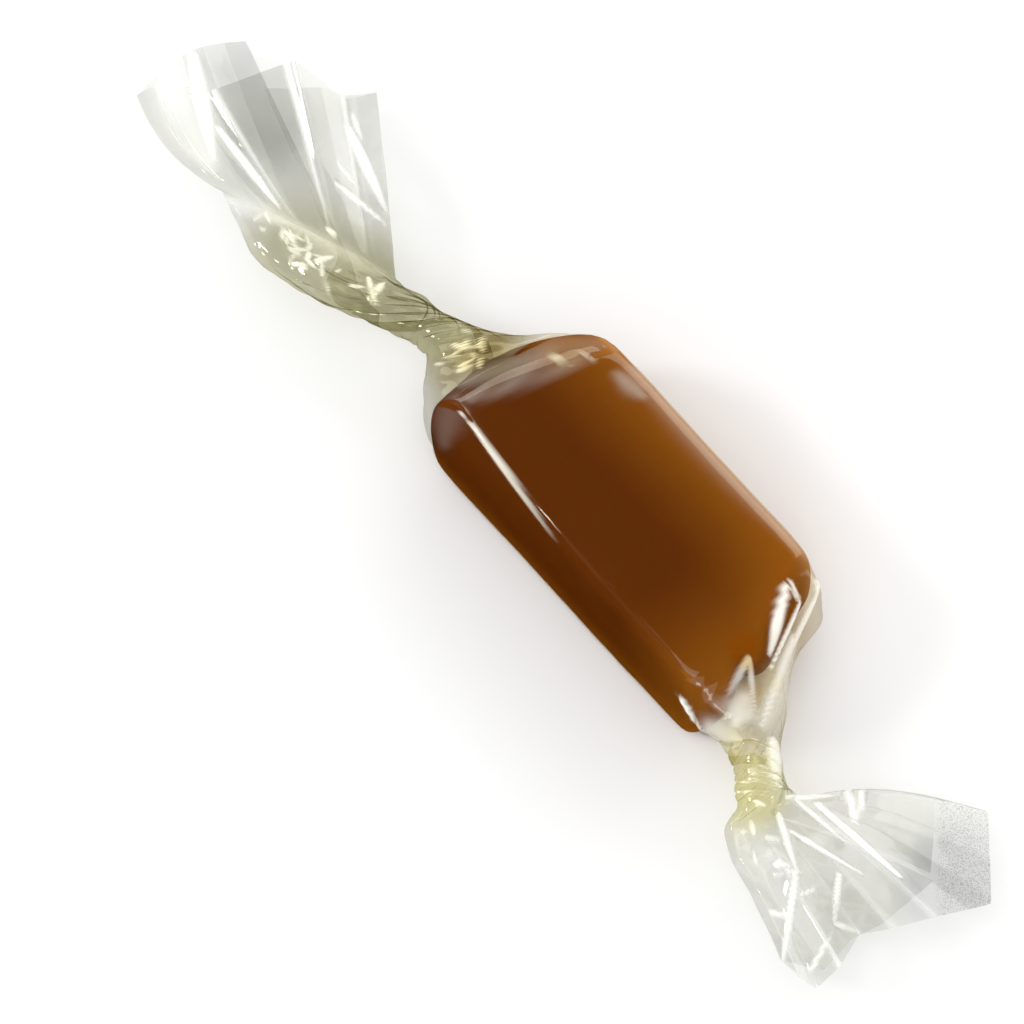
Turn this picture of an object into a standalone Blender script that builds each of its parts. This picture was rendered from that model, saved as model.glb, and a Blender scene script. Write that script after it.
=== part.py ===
"""Twist-wrapped caramel: a soft block of caramel in a clear film that is twisted at both ends.

Units are metres and +Z is up. The origin is on the surface that the sweet lies on, under the
middle of the block. +X runs along the block, from the head twist to the foot twist. Left is the
-Y side and right is the +Y side.
"""
import math

import bmesh
import bpy
from mathutils import Vector

MM = 0.001
NAME = "wrapped_caramel"

# The caramel block
BLOCK_LENGTH = 38.0 * MM
BLOCK_WIDTH = 18.4 * MM
BLOCK_HEIGHT = 12.2 * MM
BLOCK_ROUNDING = 3.6 * MM     # how far in from its edges a face begins to curve
HEAD_PULL = 3.6 * MM          # how far the top of the head end is pulled in at its right corner
END_SKEW = 1.1 * MM           # how far the right corner of either end is pushed in
HEAD_SHOULDER = 1.4 * MM      # how far the top left edge leans in at the head end
RIGHT_LEAN = 0.4 * MM         # how far the top right edge leans in

# The film
FILM_WALL = 0.5 * MM          # wall of the sleeve round the block
FILM_GAP = 0.3 * MM           # clearance between the film and the caramel
FAN_THICKNESS = 0.7 * MM      # the flattened, layered film of a fan
END_INSET = 0.9 * MM          # how much smaller the sleeve is where it turns onto the block's ends
SHOULDER_RUN = 3.4 * MM       # length of that turn
SLEEVE_SQUARE = 8.0           # squareness of the sleeve's section, where 2 is an ellipse
SEAM_WIDTH = 0.35 * MM        # the open lap seam along the underside
SEAM_LENGTH = 26.0 * MM
SEAM_SIDE = 3.0 * MM          # distance of the seam from the middle line
FLAT_BOTTOM = 1.04            # above 1 the lower side of a section is flat over its middle

# How finely the film is divided
ACROSS = 22                   # steps from the left edge to the right edge, on each face
FAN_RINGS = 9

BLOCK_FLOOR = FILM_WALL + FILM_GAP
PLEATS = 4                    # ridges round a twisted neck

CARAMEL_BROWN = (0.196, 0.052, 0.008, 1.0)
FILM_CLEAR = (0.86, 0.87, 0.80, 1.0)

# Ribs of the film in mm, from the head fan to the block and from the block to the foot fan. A rib
# is a slice from the left edge to the right edge: left x, y, right x, y, height of its middle,
# thickness, squareness of the section, depth of the twisted pleats, turn of the pleats in
# degrees, and rings up to the next rib.
HEAD_RIBS = [
    (-55.0, -8.1, -36.2, -1.1, 6.2, 2.0, 3.0, 0.00, -340, 3),
    (-50.3, -9.7, -35.5, -1.0, 6.2, 3.0, 2.6, 0.05, -320, 3),
    (-45.9, -10.3, -34.4, -0.9, 6.2, 3.6, 2.4, 0.09, -280, 3),
    (-41.2, -8.9, -33.2, -0.6, 6.2, 4.0, 2.2, 0.12, -230, 3),
    (-36.4, -6.9, -31.6, -0.3, 6.3, 4.2, 2.0, 0.14, -170, 3),
    (-30.2, -4.3, -30.0, 0.0, 6.5, 4.0, 2.0, 0.15, -90, 3),
    (-27.8, -4.1, -27.8, 0.9, 6.6, 4.8, 2.0, 0.12, -50, 3),
    (-24.8, -6.9, -24.6, 2.4, 6.6, 6.8, 2.4, 0.06, -20, 3),
    (-22.6, -8.5, -22.0, 4.2, 6.2, 8.6, 2.8, 0.03, 0, 2),
    (-20.8, -9.2, -20.2, 6.4, 5.9, 10.2, 4.0, 0.00, 0, 2),
]
FOOT_RIBS = [
    (20.7, -9.2, 19.6, 7.6, 6.8, 12.2, 5.0, 0.00, 0, 2),
    (22.0, -9.1, 20.8, 5.4, 6.7, 10.8, 3.4, 0.02, 10, 2),
    (23.6, -8.9, 22.2, 2.5, 6.6, 8.8, 2.6, 0.05, 20, 3),
    (25.2, -9.1, 24.8, -1.5, 6.3, 6.4, 2.2, 0.09, 50, 3),
    (26.9, -9.8, 27.4, -4.4, 6.2, 5.0, 2.0, 0.14, 100, 3),
    (28.3, -10.8, 29.9, -6.1, 6.2, 4.2, 2.0, 0.15, 160, 3),
    (29.9, -12.7, 32.0, -6.9, 6.1, 5.0, 2.0, 0.14, 220, 3),
    (31.7, -14.7, 32.4, -6.8, 5.9, 4.0, 2.4, 0.08, 280, 3),
    (34.3, -16.3, 32.8, -6.5, 5.6, 2.4, 3.0, 0.00, 320, 3),
]

# Free edges of the two fans in mm, from left to right: share of the way across, then x, y, z.
# The edge rises and falls with the folds, and steps back where a fold ends in a notch.
HEAD_EDGE = [
    (0.00, -70.0, -7.1, 2.6),
    (0.23, -68.9, -2.1, 7.6),
    (0.45, -67.3, 4.7, 4.0),
    (0.50, -62.6, 3.3, 6.2),
    (0.64, -59.8, 5.4, 11.0),
    (0.82, -55.6, 8.1, 5.2),
    (1.00, -52.5, 9.9, 9.0),
]
FOOT_EDGE = [
    (0.00, 44.2, -18.4, 2.0),
    (0.14, 50.0, -18.5, 5.0),
    (0.36, 47.4, -10.7, 2.4),
    (0.59, 51.5, -5.3, 6.4),
    (0.77, 53.4, 1.3, 3.2),
    (0.86, 51.3, 3.1, 7.6),
    (1.00, 45.9, 7.3, 4.2),
]

# How far the sides of the fans bulge between the twist and the free edge, in mm
HEAD_LEFT_BULGE = (0.3, -1.4, 0.0)
HEAD_RIGHT_BULGE = (0.0, 0.0, 0.0)
FOOT_LEFT_BULGE = (-0.4, 0.4, 0.0)
FOOT_RIGHT_BULGE = (-0.5, 0.4, 1.4)


def clear_scene():
    """Removes every object that the file starts with."""
    for item in list(bpy.data.objects):
        bpy.data.objects.remove(item, do_unlink=True)


def new_collection(name):
    """A collection linked to the scene."""
    collection = bpy.data.collections.new(name)
    bpy.context.scene.collection.children.link(collection)
    return collection


def new_material(name, colour, roughness, transmission=0.0, alpha=1.0):
    """A Principled material with one colour."""
    material = bpy.data.materials.new(name)
    material.use_nodes = True
    shader = material.node_tree.nodes["Principled BSDF"]
    shader.inputs["Base Color"].default_value = colour
    shader.inputs["Roughness"].default_value = roughness
    shader.inputs["Metallic"].default_value = 0.0
    shader.inputs["Transmission Weight"].default_value = transmission
    shader.inputs["Alpha"].default_value = alpha
    material.diffuse_color = colour
    return material


def new_object(name, bm, collection, material=None):
    """An object from an edit mesh, with its faces pointing outwards and its curves shaded smooth."""
    bmesh.ops.recalc_face_normals(bm, faces=bm.faces)
    mesh = bpy.data.meshes.new(name)
    bm.to_mesh(mesh)
    bm.free()
    mesh.shade_smooth()
    mesh.set_sharp_from_angle(angle=math.radians(40))
    item = bpy.data.objects.new(name, mesh)
    collection.objects.link(item)
    if material:
        mesh.materials.append(material)
    return item


def block_point(end, side, level, grow=0.0):
    """A point of the block's cage. Each argument runs from -1 to 1: head to foot, left to right,
    low to top. The outermost points move out by the margin."""
    right = (side + 1) / 2
    top = (level + 1) / 2
    x = end * (BLOCK_LENGTH / 2 - END_SKEW * right)
    y = side * BLOCK_WIDTH / 2
    z = BLOCK_FLOOR + top * BLOCK_HEIGHT
    if end < 0 and level == 1:
        x += HEAD_PULL * right
    if side < 0:
        y += HEAD_SHOULDER * top * (1 - end) / 2
    else:
        y -= RIGHT_LEAN * top
    out = [int(share) for share in (end, side, level)]
    return Vector((x, y, z)) + Vector(out) * grow


def add_block(name, grow, collection, material=None):
    """The block as a cube with a loop near each edge, subdivided smooth and grown by a margin."""
    bm = bmesh.new()
    bmesh.ops.create_cube(bm, size=2.0)
    bmesh.ops.subdivide_edges(bm, edges=bm.edges, cuts=2, use_grid_fill=True)
    halves = (BLOCK_LENGTH / 2, BLOCK_WIDTH / 2, BLOCK_HEIGHT / 2)
    for vert in bm.verts:
        shares = []
        for value, half in zip(vert.co, halves):
            near_edge = math.copysign(1 - BLOCK_ROUNDING / half, value)
            shares.append(round(value) if abs(value) > 0.9 else near_edge)
        vert.co = block_point(*shares, grow)
    item = new_object(name, bm, collection, material)
    smooth = item.modifiers.new("soft form", "SUBSURF")
    smooth.levels = 2
    smooth.render_levels = 2
    return item


def rib_from_row(row):
    """A rib of the film from its row of sizes: four corners, squareness, pleats and rings."""
    left_x, left_y, right_x, right_y, height, thickness, square, pleat, turn, rings = row
    half = thickness / 2
    corners = [
        Vector((left_x, left_y, height - half)) * MM,
        Vector((left_x, left_y, height + half)) * MM,
        Vector((right_x, right_y, height + half)) * MM,
        Vector((right_x, right_y, height - half)) * MM,
    ]
    return {"corners": corners, "square": square, "pleat": pleat, "turn": turn, "rings": rings}


def sleeve_rib(end, inward, inset, rings):
    """A rib round the block, some way in from one of its ends and inset from its full size."""
    corners = []
    grow = FILM_WALL + FILM_GAP
    for side, level in ((-1, -1), (-1, 1), (1, 1), (1, -1)):
        near = block_point(end, side, level, grow)
        far = block_point(-end, side, level, grow)
        corner = near + (far - near).normalized() * inward
        corner += Vector((0, -side * inset, -level * inset))
        corners.append(corner)
    return {"corners": corners, "square": SLEEVE_SQUARE, "pleat": 0, "turn": 0, "rings": rings}


def head_face_rib(rings):
    """The rib round the block's head end, lower at its top right where the block slopes."""
    rib = sleeve_rib(-1, 0, END_INSET, rings)
    top_right = rib["corners"][2]
    top_right.x -= HEAD_PULL
    top_right.z -= BLOCK_ROUNDING
    return rib


def all_ribs():
    """Ribs from the root of the head fan to the root of the foot fan."""
    ribs = [rib_from_row(row) for row in HEAD_RIBS]
    ribs.append(head_face_rib(3))
    ribs.append(sleeve_rib(-1, SHOULDER_RUN, 0, 8))
    ribs.append(sleeve_rib(1, SHOULDER_RUN, 0, 3))
    ribs.append(sleeve_rib(1, 0, END_INSET, 3))
    ribs += [rib_from_row(row) for row in FOOT_RIBS]
    return ribs


def cubic(before, start, end, after, share):
    """A smooth value between start and end that also heeds the values before and after them."""
    square = share * share
    cube = square * share
    return 0.5 * (
        2 * start
        + (end - before) * share
        + (2 * before - 5 * start + 4 * end - after) * square
        + (3 * start - before - 3 * end + after) * cube
    )


def rib_between(ribs, index, share):
    """The rib a share of the way from one rib to the next, straight along the sleeve."""
    start = ribs[index]
    end = ribs[index + 1]
    before = ribs[max(index - 1, 0)]
    after = ribs[min(index + 2, len(ribs) - 1)]
    rib = {}
    for key in ("square", "pleat", "turn"):
        rib[key] = start[key] + (end[key] - start[key]) * share
    straight = start["square"] == end["square"] == SLEEVE_SQUARE
    rib["corners"] = []
    for corner in range(4):
        places = [item["corners"][corner] for item in (before, start, end, after)]
        if straight:
            place = places[1].lerp(places[2], share)
        else:
            place = cubic(*places, share)
        rib["corners"].append(place)
    return rib


def rib_ring(rib):
    """Points round a rib: over the top from left to right, then back along the bottom."""
    low_left, top_left, top_right, low_right = rib["corners"]
    points = []
    for step in range(2 * ACROSS):
        angle = math.pi * step / ACROSS
        across = -math.cos(angle)
        rise = (1 - abs(across) ** rib["square"]) ** (1 / rib["square"])
        rise *= 1 if step <= ACROSS else -1
        ripple = 1 + rib["pleat"] * math.cos(PLEATS * angle + math.radians(rib["turn"]))
        across *= ripple
        rise *= ripple
        if rise < 0:
            rise = max(rise * FLAT_BOTTOM, -1)
        low = low_left.lerp(low_right, (across + 1) / 2)
        top = top_left.lerp(top_right, (across + 1) / 2)
        point = low.lerp(top, (rise + 1) / 2)
        point.z = max(point.z, 0)
        points.append(point)
    return points


def edge_point(edge, share):
    """The point a share of the way along a fan's free edge."""
    for (start_share, *start), (end_share, *end) in zip(edge, edge[1:]):
        if share <= end_share:
            part = (share - start_share) / (end_share - start_share)
            return Vector(start).lerp(Vector(end), part) * MM
    return Vector(edge[-1][1:]) * MM


def edge_ring(edge):
    """Points round the free edge of a fan, as thin as its layered film."""
    points = []
    for step in range(2 * ACROSS):
        across_step = step if step <= ACROSS else 2 * ACROSS - step
        point = edge_point(edge, across_step / ACROSS)
        if across_step not in (0, ACROSS):
            point.z += FAN_THICKNESS / 2 * (1 if step < ACROSS else -1)
        points.append(point)
    return points


def fan_rings(edge, root_ring, left_bulge, right_bulge):
    """Rings from a fan's free edge to just before its root, with folds that run along it."""
    free_ring = edge_ring(edge)
    rings = []
    for row in range(FAN_RINGS):
        share = row / FAN_RINGS
        thinning = share ** 2.2
        ring = []
        for step, (free, root) in enumerate(zip(free_ring, root_ring)):
            mirrored = -step % (2 * ACROSS)
            free_middle = (free + free_ring[mirrored]) / 2
            root_middle = (root + root_ring[mirrored]) / 2
            middle = free_middle.lerp(root_middle, share)
            across = min(step, mirrored) / ACROSS
            bulge = Vector(left_bulge) * (1 - across) ** 3 + Vector(right_bulge) * across ** 3
            middle += bulge * MM * 4 * share * (1 - share)
            half = (free - free_middle).lerp(root - root_middle, thinning)
            ring.append(middle + half)
        rings.append(ring)
    return rings


def film_rings():
    """Every ring of the film, from the free edge of the head fan to that of the foot fan."""
    ribs = all_ribs()
    rings = []
    for index, rib in enumerate(ribs[:-1]):
        for row in range(rib["rings"]):
            rings.append(rib_ring(rib_between(ribs, index, row / rib["rings"])))
    rings.append(rib_ring(ribs[-1]))
    head = fan_rings(HEAD_EDGE, rings[0], HEAD_LEFT_BULGE, HEAD_RIGHT_BULGE)
    foot = fan_rings(FOOT_EDGE, rings[-1], FOOT_LEFT_BULGE, FOOT_RIGHT_BULGE)
    return head + rings + list(reversed(foot))


def add_film_body(collection, material):
    """The outside of the film: a loft through all the rings, closed at both free edges."""
    bm = bmesh.new()
    count = 2 * ACROSS
    loops = [[bm.verts.new(point) for point in ring] for ring in film_rings()]
    for first, second in zip(loops, loops[1:]):
        for step in range(count):
            following = (step + 1) % count
            if step < ACROSS:
                bm.faces.new((first[step], first[following], second[following]))
                bm.faces.new((first[step], second[following], second[step]))
            else:
                bm.faces.new((first[step], first[following], second[step]))
                bm.faces.new((first[following], second[following], second[step]))
    for loop in (loops[0], loops[-1]):
        for step in range(ACROSS):
            top, next_top = loop[step], loop[step + 1]
            low, next_low = loop[-step % count], loop[-(step + 1) % count]
            corners = [top, next_top, next_low, low]
            corners = [vert for place, vert in enumerate(corners) if vert not in corners[:place]]
            bm.faces.new(corners)
    return new_object("wrapper", bm, collection, material)


def add_seam_cutter(collection):
    """A thin upright slot from the hollow down through the underside of the sleeve."""
    bm = bmesh.new()
    bmesh.ops.create_cube(bm, size=1.0)
    for vert in bm.verts:
        vert.co.x *= SEAM_LENGTH
        vert.co.y = vert.co.y * SEAM_WIDTH + SEAM_SIDE
        vert.co.z *= 4 * BLOCK_FLOOR
    return new_object("seam_cutter", bm, collection)


def cut(item, cutter):
    """Cuts one object with another, which stays as a hidden guide."""
    cutter.hide_render = True
    cutter.display_type = "WIRE"
    boolean = item.modifiers.new(cutter.name, "BOOLEAN")
    boolean.operation = "DIFFERENCE"
    boolean.object = cutter


def main():
    clear_scene()
    parts = new_collection(NAME)
    cutters = new_collection("cutters")
    caramel_material = new_material("caramel", CARAMEL_BROWN, 0.38)
    film_material = new_material("film", FILM_CLEAR, 0.08, transmission=0.9, alpha=0.35)
    add_block("caramel", 0.0, parts, caramel_material)
    wrapper = add_film_body(parts, film_material)
    cut(wrapper, add_block("hollow_cutter", FILM_GAP, cutters))
    cut(wrapper, add_seam_cutter(cutters))


main()
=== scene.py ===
"""Wrapped caramel: a block of soft caramel in clear film, twisted at both ends into folded fans.

The film starts as the flat sheet that is cut from the roll, and is rolled round the block, gathered
into pleats, twisted and fanned out. Left is the -Y side, right is the +Y side, the head tail lies
towards -X and the foot tail towards +X.
"""
import math
import random

import bmesh
import bpy
import numpy as np
from bpy.props import FloatProperty, FloatVectorProperty, IntProperty, PointerProperty
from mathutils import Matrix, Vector


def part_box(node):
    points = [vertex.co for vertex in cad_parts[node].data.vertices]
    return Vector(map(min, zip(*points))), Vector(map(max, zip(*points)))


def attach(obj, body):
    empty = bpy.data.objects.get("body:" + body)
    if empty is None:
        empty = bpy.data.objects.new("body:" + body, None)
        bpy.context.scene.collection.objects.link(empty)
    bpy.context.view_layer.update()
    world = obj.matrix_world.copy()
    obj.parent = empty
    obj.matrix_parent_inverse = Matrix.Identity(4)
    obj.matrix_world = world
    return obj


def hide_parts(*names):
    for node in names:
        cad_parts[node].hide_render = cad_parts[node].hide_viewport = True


bl_info = {
    "name": "Wrapped Caramel",
    "version": (1, 0, 0),
    "blender": (4, 5, 0),
    "location": "View3D > Sidebar > Caramel",
    "description": "Models a caramel in a clear film that is twisted at both ends",
    "category": "Object",
}

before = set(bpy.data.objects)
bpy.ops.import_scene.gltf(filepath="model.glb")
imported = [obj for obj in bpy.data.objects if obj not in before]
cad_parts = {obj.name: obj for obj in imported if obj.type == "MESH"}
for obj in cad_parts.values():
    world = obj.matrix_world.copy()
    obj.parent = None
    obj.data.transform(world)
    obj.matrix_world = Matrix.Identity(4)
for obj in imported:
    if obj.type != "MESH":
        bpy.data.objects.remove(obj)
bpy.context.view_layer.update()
BLOCK_LOW, BLOCK_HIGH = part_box("caramel")

MM = 0.001

# Ribs of the gathered film in mm, from the head fan to the block and from the block to the foot
# fan: left x, y, right x, y, height of the middle, thickness, squareness of the section, share of
# the section that the pleats fold in, twist in degrees, and rows up to the next rib.
HEAD_RIBS = [
    (-55.0, -8.1, -36.2, -1.1, 6.2, 2.2, 2.4, 0.12, -360, 16),
    (-50.3, -9.7, -35.5, -1.0, 6.2, 3.4, 2.2, 0.14, -360, 16),
    (-45.9, -10.3, -34.4, -0.9, 6.2, 4.2, 2.0, 0.14, -358, 16),
    (-41.2, -8.9, -33.2, -0.6, 6.2, 4.6, 2.0, 0.12, -350, 15),
    (-36.4, -6.9, -31.6, -0.3, 6.3, 4.6, 2.0, 0.12, -325, 14),
    (-30.2, -4.3, -30.0, 0.0, 6.5, 4.2, 2.0, 0.14, -215, 10),
    (-27.8, -4.3, -27.8, 0.9, 6.6, 5.0, 2.0, 0.12, -120, 10),
    (-24.8, -7.0, -24.6, 2.6, 6.6, 7.2, 2.4, 0.07, -35, 9),
    (-22.6, -8.8, -22.0, 4.8, 6.4, 9.4, 2.8, 0.03, -8, 7),
    (-20.8, -9.4, -20.0, 6.9, 6.2, 10.8, 4.0, 0.01, 0, 5),
]
FOOT_RIBS = [
    (20.8, -9.4, 19.2, 7.9, 7.2, 11.2, 3.6, 0.01, 0, 5),
    (22.0, -9.2, 20.2, 5.2, 7.2, 9.2, 3.0, 0.03, 6, 6),
    (23.6, -8.9, 21.8, 2.3, 6.9, 7.4, 2.4, 0.06, 20, 7),
    (25.2, -9.1, 24.8, -1.2, 6.3, 6.6, 2.2, 0.10, 60, 8),
    (26.9, -9.8, 27.4, -4.4, 6.2, 5.2, 2.0, 0.12, 130, 8),
    (28.3, -10.8, 29.9, -6.1, 6.2, 4.4, 2.0, 0.12, 215, 8),
    (29.9, -12.7, 32.0, -6.9, 6.1, 5.2, 2.0, 0.12, 300, 8),
    (31.7, -14.7, 32.4, -6.8, 5.9, 4.4, 2.2, 0.10, 345, 10),
    (34.3, -16.3, 32.8, -6.5, 5.6, 2.8, 2.4, 0.08, 360, 10),
]

# Folds of each fan, from one long edge of the sheet to the other: x, y, z of the fold's end at the
# free edge in mm, how far across the gathered root it starts, how high in the root, -1 to 1, and
# how strong the white highlight painted along the fold is there
HEAD_FOLDS = [
    (-67.5, 5.1, 3.5, 0.74, -0.7, 0.0),
    (-69.4, 3.9, 1.6, 0.45, -0.7, 0.0),
    (-69.8, 1.4, 3.4, 0.32, -0.6, 0.15),
    (-70.9, -0.4, 1.8, 0.20, -0.5, 0.15),
    (-69.8, -4.4, 4.4, 0.08, -0.4, 0.0),
    (-70.0, -7.1, 3.0, 0.00, 0.0, 0.0),
    (-68.3, -6.3, 6.6, 0.04, 0.4, 0.0),
    (-67.0, -5.7, 6.0, 0.10, 0.5, 0.3),
    (-65.1, -4.3, 9.2, 0.24, 0.6, 0.0),
    (-63.9, -3.0, 7.8, 0.40, 0.6, 0.05),
    (-63.5, -2.3, 8.3, 0.45, 0.7, 0.7),
    (-60.7, 4.9, 9.4, 0.64, 0.8, 0.9),
    (-60.2, 5.6, 10.0, 0.68, 0.8, 0.3),
    (-57.7, 6.7, 8.2, 0.76, 0.8, 0.0),
    (-55.1, 7.6, 6.4, 0.84, 0.6, 0.6),
    (-54.2, 8.2, 7.2, 0.88, 0.5, 0.2),
    (-53.1, 10.5, 7.4, 1.00, 0.0, 0.0),
    (-56.3, 9.0, 3.4, 0.86, -0.6, 0.0),
    (-58.1, 7.1, 5.0, 0.78, -0.7, 0.0),
    (-60.8, 5.6, 2.6, 0.70, -0.7, 0.0),
    (-61.9, 2.9, 4.4, 0.66, -0.7, 0.0),
]
FOOT_FOLDS = [
    (49.0, -2.3, 6.5, 0.72, -0.8, 0.0),
    (48.3, -8.4, 3.5, 0.50, -0.7, 0.0),
    (46.9, -11.2, 1.4, 0.30, -0.8, 0.0),
    (48.3, -16.1, 3.0, 0.12, -0.6, 0.2),
    (44.2, -18.4, 2.0, 0.00, 0.0, 0.0),
    (47.9, -19.1, 5.4, 0.10, 0.5, 0.3),
    (49.9, -18.4, 4.6, 0.24, 0.6, 0.1),
    (50.3, -15.6, 7.0, 0.42, 0.7, 0.5),
    (47.4, -10.7, 2.6, 0.60, 0.8, 0.15),
    (50.1, -8.7, 5.8, 0.74, 0.8, 0.3),
    (52.1, -4.8, 6.5, 0.86, 0.9, 0.4),
    (52.6, -1.6, 4.2, 0.92, 0.7, 0.0),
    (53.5, 1.4, 3.2, 0.97, 0.5, 0.0),
    (50.3, 3.9, 5.4, 0.99, 0.3, 0.2),
    (46.0, 7.3, 4.4, 1.00, 0.0, 0.0),
    (42.8, 6.3, 2.4, 0.98, -0.4, 0.0),
    (41.3, 4.2, 3.8, 0.94, -0.6, 0.2),
    (45.2, 0.8, 5.4, 0.84, -0.7, 0.0),
    (47.6, -1.6, 4.6, 0.74, -0.8, 0.0),
]
# Columns of points either side of a fold over which its painted highlight fades
FOLD_HIGHLIGHT_COLUMNS = 2.5
# Pleats: bounds of their widths as shares of each other and of their depths, and the share of a
# pleat's width that its valley takes
PLEAT_WIDTHS = (0.6, 1.5)
PLEAT_DEPTHS = (0.55, 1.0)
VALLEY_WIDTH = 0.55
PLEAT_SEED = 7
# How far the upper half of the way round stands off in the pleats, as a share of its reach
LAP_STEP = 0.02
# Ribs over which the gathered film turns into the flat folds of a fan
BLEND_RIBS = 3
# How far the left and right sides of the fans bulge between the twist and the free edge, in mm
HEAD_BULGES = ((0.3, -1.4, 0.0), (0.0, 0.0, 0.0))
FOOT_BULGES = ((-0.4, 0.4, 0.0), (-0.5, 0.4, 1.4))

# Soft boxes a metre away: name, direction from the sweet, width and height in metres, and
# radiance. None stands where the flat top would mirror it into the camera.
LIGHTS = [
    ("left key", (-0.52, -0.58, 0.63), (0.22, 0.18), 14.0),
    ("foot side", (0.75, -0.55, 0.36), (0.30, 0.30), 2.5),
    ("right side", (-0.32, 0.88, 0.40), (1.10, 0.90), 1.2),
    ("head side", (-0.93, 0.20, 0.30), (0.80, 0.30), 1.5),
    ("front", (0.55, -0.62, 0.56), (1.15, 1.15), 0.5),
    ("above", (0.10, -0.30, 0.95), (0.70, 0.60), 0.8),
]
# Watts that give a soft box of one square metre a radiance of one
WATTS_FOR_RADIANCE = 4.0
# The floor's size and how far it lies below the sweet, in metres
FLOOR_SIZE = 4.0
FLOOR_GAP = 0.05 * MM

# The wrapper solid is thicker than real film, so the caramel fills half its wall as well, in mm
SPARE_WALL = 0.5
# Where loops are cut round the block in mm: along it, across it, and upwards
LOOPS = ((-17.0, -1.5, 16.5), (-7.8, -5.4, -3.6, -2.4, -0.4, 2.6, 6.6), (3.4, 10.2))
# Where the points of either end lie along the block in mm, after the knife and the tight film.
# Rows go from the bottom to the top, numbers from left to right.
HEAD_END = [
    (-20.0, -20.6, -21.2, -21.5, -21.6, -21.6, -21.2, -19.6, -17.2),
    (-21.2, -21.8, -22.6, -23.0, -23.2, -23.3, -23.0, -21.2, -18.2),
    (-21.8, -22.3, -22.7, -22.9, -23.0, -23.0, -22.4, -20.8, -18.2),
    (-20.3, -19.8, -19.1, -18.6, -18.2, -17.6, -16.5, -14.9, -13.6),
]
FOOT_END = [
    (19.2, 19.6, 19.6, 18.2, 15.6, 18.8, 17.2, 15.8, 14.8),
    (20.0, 20.8, 21.0, 19.4, 16.2, 20.8, 18.8, 17.2, 16.4),
    (20.4, 21.8, 22.0, 20.2, 21.6, 21.2, 19.2, 17.4, 16.6),
    (18.8, 19.8, 20.3, 19.6, 20.2, 19.7, 18.4, 16.6, 15.8),
]
# How far the loop next to an end follows it when the end is pulled in
FOLLOW = 0.8
# How far the top edges lean in at each loop along the block in mm: left edge, right edge
EDGE_LEANS = [(2.7, 0.5), (2.3, 0.3), (0.35, 0.2), (0.2, 0.3), (0.3, 0.6)]
# Size of the block's soft unevenness in mm
LUMP_SIZE = 9.0
# Painted light: how brightly light coming through the caramel is painted: right side, foot, head,
# lower left side, right rim
PAINTED_GLOWS = (0.58, 0.54, 0.75, 0.7)
PAINTED_RIM_GLOW = 0.45
# Clouds in the caramel for each metre along, across and upwards, and how far they change its colour
CLOUDS = (30, 110, 60)
CLOUDING = 0.16
# Places of the dark, the light and the rim colour from no painted glow to full painted glow
PAINTED_GLOW_COLOURS_AT = (0.08, 0.62, 1.0)
# Where the film leaves the caramel at either end: y and x in mm, from left to right
HEAD_LINE = [(-9.5, -21.0), (-7.0, -20.6), (8.5, -15.0)]
FOOT_LINE = [(-9.5, 20.0), (-2.2, 19.4), (9.5, 15.6)]
# Over how many mm the film comes to lie tight on the caramel
TIGHT_EASE = 3.0
# Textures that crush the film: name, kind, size and strength in mm, level that doesn't move the
# film, and the group of points that it acts on
CRUSHES = [
    ("crushed facets", "VORONOI", 4.4, 0.8, 0.4, "crushed"),
    ("fine facets", "VORONOI", 1.8, 0.22, 0.4, "crushed"),
    ("ripple", "CLOUDS", 9.0, 0.4, 0.5, ""),
]
# Where the film is crushed: rows from the fan's root to the middle of the crushed length, and
# rows over which it fades from there. A peak above 1 keeps it crushed in full over the first ones.
HEAD_CRUSH = (46, 52)
FOOT_CRUSH = (18, 36)
CRUSH_PEAK = 1.2
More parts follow.
